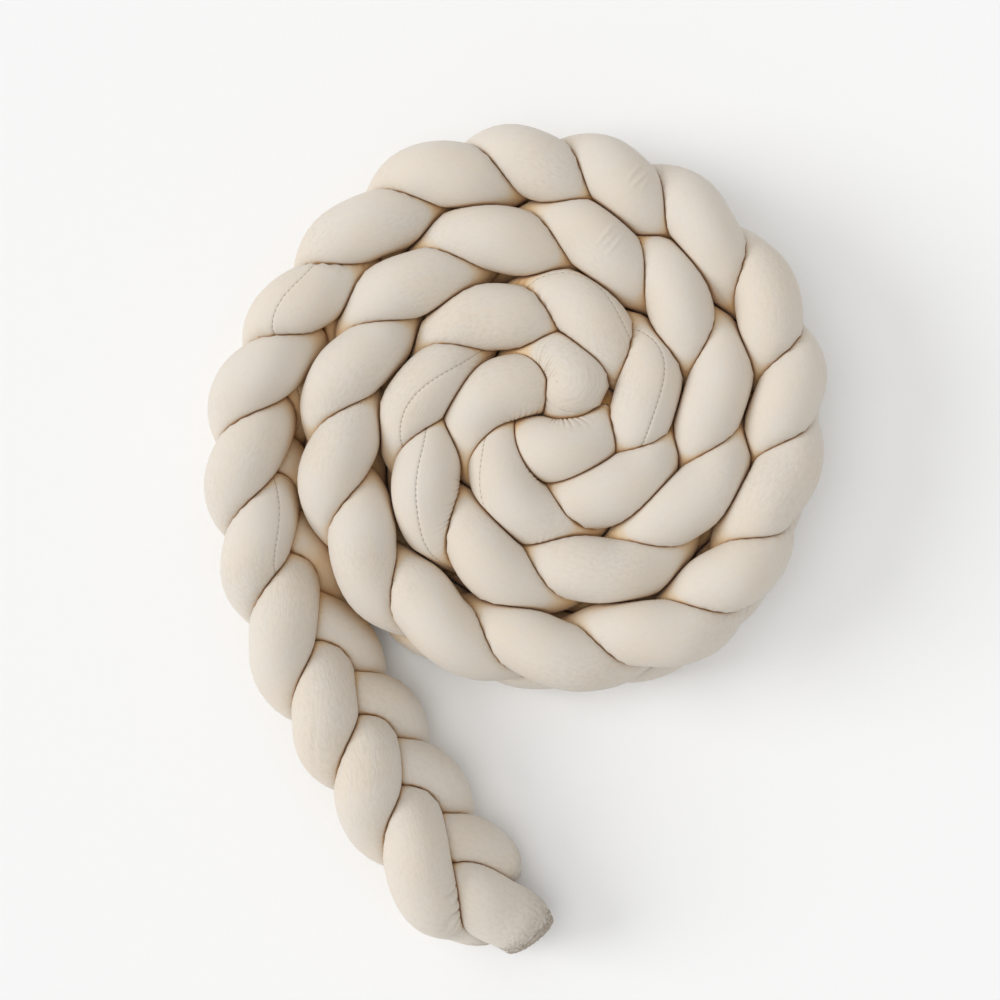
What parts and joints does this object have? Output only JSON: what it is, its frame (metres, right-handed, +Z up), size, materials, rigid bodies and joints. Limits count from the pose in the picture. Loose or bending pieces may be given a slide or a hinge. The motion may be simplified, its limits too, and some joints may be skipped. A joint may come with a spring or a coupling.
{
  "type": "braided crib bumper",
  "caption": "Braided crib bumper of stuffed velour tubes, standing on its edge and wound into a flat coil, with its outer end laid out as a tail.",
  "frame": {"origin": "centre of the footprint's bounding box, on the surface the coil rests on", "axes": "+Z up, the braid's width direction in the coil; +Y from the tail towards the coil; +X to the right in the picture, which looks straight down"},
  "size_m": [0.6508, 0.8742, 0.1421],
  "materials": {
    "velour": "soft cream velour, short nap, matt with a faint sheen"
  },
  "bodies": {
    "root": {"strand_a": "velour", "strand_b": "velour", "strand_c": "velour"}
  },
  "joints": []
}
